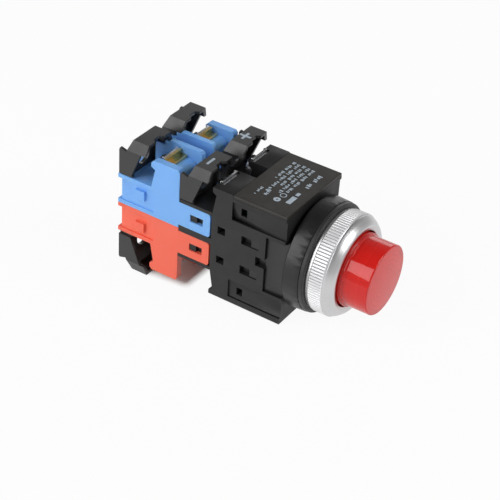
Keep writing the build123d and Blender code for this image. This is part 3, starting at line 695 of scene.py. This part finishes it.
def beside_blocks(tree):
    """0 on the floor right under the blocks, rising to 1 a few millimetres outside their outline."""
    place = axes_of(tree, place_on_piece(tree))
    aside = spread(tree, maths(tree, "ABSOLUTE", place["X"]), 1.0, 0.0, *SHADE_SIDE)
    front = spread(tree, place["Y"], 0.0, 1.0, *SHADE_FRONT[::-1])
    rear = spread(tree, place["Y"], 1.0, 0.0, *SHADE_REAR)
    under = maths(tree, "MULTIPLY", aside, maths(tree, "MULTIPLY", front, rear))
    return spread(tree, under, 1.0, 0.0, 0.0, 1.0)


def pale_floor():
    """Plain white floor just below the object, shown white with its shadow kept."""
    along = (REST_REAR - REST_FRONT).normalized()
    across = Vector((1, 0, 0))
    start = REST_FRONT - across.cross(along) * FLOOR_GAP
    ends = [start + across * i + along * j for i, j in
            ((-FLOOR_SIDE, -FLOOR_FRONT), (FLOOR_SIDE, -FLOOR_FRONT),
             (FLOOR_SIDE, FLOOR_REAR), (-FLOOR_SIDE, FLOOR_REAR))]
    mesh = bpy.data.meshes.new("floor")
    mesh.from_pydata(ends, [], [(0, 1, 2, 3)])
    material, tree, shader = blank_material("white_floor")
    shader.inputs["Base Color"].default_value = (0.9, 0.9, 0.9, 1.0)
    shader.inputs["Roughness"].default_value = 0.9
    seen = tree.nodes.new("ShaderNodeLightPath")
    share = None
    for ray, white_share in FLOOR_WHITE.items():
        weight = maths(tree, "MULTIPLY", seen.outputs[ray], white_share)
        share = weight if share is None else maths(tree, "MAXIMUM", share, weight)
    white = tree.nodes.new("ShaderNodeEmission")
    white.inputs["Color"].default_value = (1, 1, 1, 1)
    white.inputs["Strength"].default_value = 1.0
    mix = tree.nodes.new("ShaderNodeMixShader")
    out = next(node for node in tree.nodes if node.type == "OUTPUT_MATERIAL")
    tree.links.new(maths(tree, "MULTIPLY", share, beside_blocks(tree)), mix.inputs[0])
    tree.links.new(shader.outputs[0], mix.inputs[1])
    tree.links.new(white.outputs[0], mix.inputs[2])
    tree.links.new(mix.outputs[0], out.inputs["Surface"])
    mesh.materials.append(material)
    floor = bpy.data.objects.new("floor", mesh)
    bpy.context.scene.collection.objects.link(floor)


def white_world():
    """Pale light from all round, dim overhead and brighter towards the horizon; straight looks at it are
    plain white."""
    world = bpy.data.worlds.new("studio")
    bpy.context.scene.world = world
    world.use_nodes = True
    tree = world.node_tree
    point = tree.nodes.new("ShaderNodeTexCoord")
    height = axes_of(tree, point.outputs["Generated"])["Z"]
    light = next(node for node in tree.nodes if node.type == "BACKGROUND")
    light.inputs["Color"].default_value = (1, 1, 1, 1)
    tree.links.new(spread(tree, height, 0.58, 0.17, 0.0, 0.9), light.inputs["Strength"])
    seen = tree.nodes.new("ShaderNodeBackground")
    seen.inputs["Color"].default_value = (1, 1, 1, 1)
    seen.inputs["Strength"].default_value = 1.0
    path = tree.nodes.new("ShaderNodeLightPath")
    mix = tree.nodes.new("ShaderNodeMixShader")
    out = next(node for node in tree.nodes if node.type == "OUTPUT_WORLD")
    tree.links.new(path.outputs["Is Camera Ray"], mix.inputs[0])
    tree.links.new(light.outputs[0], mix.inputs[1])
    tree.links.new(seen.outputs[0], mix.inputs[2])
    tree.links.new(mix.outputs[0], out.inputs["Surface"])


def soft_light(name, place, width, height, watts):
    """Rectangular soft light at a place, turned to face the object."""
    data = bpy.data.lights.new(name, "AREA")
    data.shape = "RECTANGLE"
    data.size = width
    data.size_y = height
    data.energy = watts
    lamp = bpy.data.objects.new(name, data)
    lamp.location = place
    lamp.rotation_mode = "QUATERNION"
    lamp.rotation_quaternion = (LIGHTS_AIM - Vector(place)).to_track_quat("-Z", "Y")
    bpy.context.scene.collection.objects.link(lamp)


def photo_camera():
    """Camera at the photograph's place, with its axes given in the object's frame."""
    data = bpy.data.cameras.new("camera")
    data.sensor_width = SENSOR_WIDTH
    data.lens = LENS_LENGTH
    data.clip_start = 0.01
    data.clip_end = 10.0
    camera = bpy.data.objects.new("camera", data)
    back = CAMERA_BACK.normalized()
    right = (CAMERA_RIGHT - back * CAMERA_RIGHT.dot(back)).normalized()
    up = back.cross(right)
    turn = Matrix((right, up, back)).transposed()
    camera.matrix_world = Matrix.Translation(CAMERA_PLACE) @ turn.to_4x4()
    bpy.context.scene.collection.objects.link(camera)
    bpy.context.scene.camera = camera


pale_floor()
white_world()
for name, light in LIGHTS.items():
    soft_light(name, *light)
photo_camera()
bpy.context.scene.view_settings.view_transform = "Standard"
